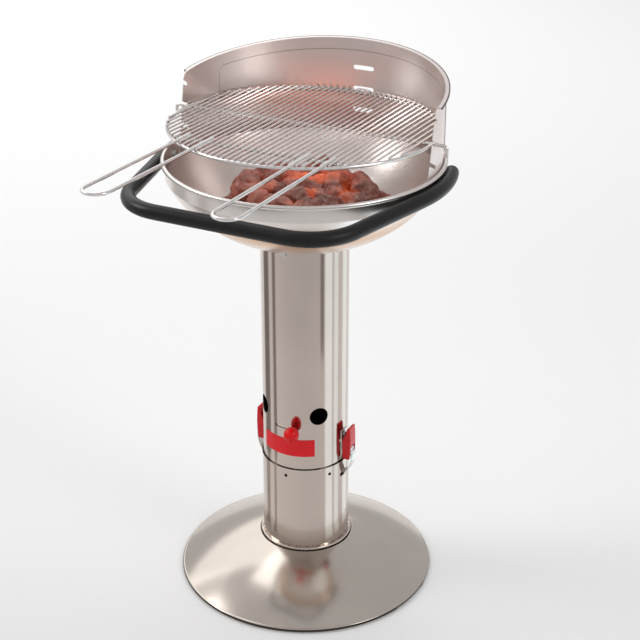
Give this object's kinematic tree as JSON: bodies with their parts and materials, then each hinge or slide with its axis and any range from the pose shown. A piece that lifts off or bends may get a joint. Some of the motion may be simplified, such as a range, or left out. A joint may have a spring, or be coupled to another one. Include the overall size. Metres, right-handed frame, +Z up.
{
  "type": "pedestal charcoal grill",
  "caption": "Pedestal charcoal grill: round foot, ash bucket latched under a vented column, shallow fire bowl with tube handle, half-round wind screen and hung wire grid.",
  "frame": {"origin": "on the column's axis at floor level, in the plane of the foot disc's rolled hem", "axes": "+Z up along the column's axis, -Y towards the front (handle bar and grid loops), +X to the right seen from the front"},
  "size_m": [0.5386, 0.7385, 0.9872],
  "materials": {
    "polished_stainless": "bright satin-polished stainless sheet with faint drawing lines",
    "latch_steel": "bright pressed steel strip",
    "zinc_steel": "bright zinc-plated fasteners",
    "chromed_wire": "chromed steel wire",
    "grate_wire": "chromed wire dulled by heat",
    "black_coating": "satin black powder coat",
    "black_plastic": "matt black moulded plastic",
    "red_plastic": "glossy red moulded plastic",
    "charcoal": "glowing charcoal lumps dusted with ash"
  },
  "bodies": {
    "stand": {"foot_disc": "polished_stainless", "ash_bucket": "polished_stainless", "bucket_screws": "zinc_steel", "bucket_nuts": "zinc_steel", "column_tube": "polished_stainless", "fire_bowl": "polished_stainless", "bowl_screws": "zinc_steel", "bowl_nuts": "zinc_steel", "wind_screen": "polished_stainless", "screen_screws": "zinc_steel", "screen_nuts": "zinc_steel", "handle_tube": "black_coating", "handle_end_plugs": "black_plastic", "handle_bolts": "zinc_steel", "handle_nuts": "zinc_steel", "latch_base_left": "latch_steel", "latch_base_right": "latch_steel", "latch_rivets": "zinc_steel", "lever_pins": "zinc_steel"},
    "damper": {"damper_ring": "polished_stainless", "damper_stem": "zinc_steel", "damper_knob": "red_plastic"},
    "lever_left": {"latch_lever_left": "red_plastic", "hook_pin_left": "zinc_steel"},
    "lever_right": {"latch_lever_right": "red_plastic", "hook_pin_right": "zinc_steel"},
    "hook_left": {"latch_hook_left": "latch_steel"},
    "hook_right": {"latch_hook_right": "latch_steel"},
    "cooking_grid": {"grid_rim": "chromed_wire", "grid_bars": "chromed_wire", "grid_cross_wires": "chromed_wire", "grid_side_hooks": "chromed_wire", "grid_handle_left": "chromed_wire", "grid_handle_right": "chromed_wire", "grid_rear_tongue": "chromed_wire"},
    "charcoal_grate": {"grate_rim": "grate_wire", "grate_bars": "grate_wire", "coal_lumps": "charcoal"}
  },
  "joints": [
    {"name": "damper_turn", "type": "hinge", "parent": "stand", "child": "damper", "pos_m": [0, 0, 0.3351], "axis": [0, 0, 1], "range_deg": [-27, 0]},
    {"name": "lever_right_swing", "type": "hinge", "parent": "stand", "child": "lever_right", "pos_m": [0.095, 0, 0.2624], "axis": [0, 1, 0], "range_deg": [0, 100]},
    {"name": "lever_left_swing", "type": "hinge", "parent": "stand", "child": "lever_left", "pos_m": [-0.095, 0, 0.2624], "axis": [0, -1, 0], "range_deg": [0, 100]},
    {"name": "hook_right_swing", "type": "hinge", "parent": "lever_right", "child": "hook_right", "pos_m": [0.094, 0, 0.2744], "axis": [0, 1, 0], "range_deg": [-100, 0]},
    {"name": "hook_left_swing", "type": "hinge", "parent": "lever_left", "child": "hook_left", "pos_m": [-0.094, 0, 0.2744], "axis": [0, -1, 0], "range_deg": [-100, 0]},
    {"name": "grid_draw", "type": "slide", "parent": "stand", "child": "cooking_grid", "axis": [0, -0.8829, 0.4695], "range_m": [0, 0.3]},
    {"name": "grate_lift", "type": "slide", "parent": "stand", "child": "charcoal_grate", "axis": [0, 0, 1], "range_m": [0, 0.07]}
  ],
  "couplings": [
    {"joint": "hook_right_swing", "follows": "lever_right_swing", "ratio": -1},
    {"joint": "hook_left_swing", "follows": "lever_left_swing", "ratio": -1}
  ]
}
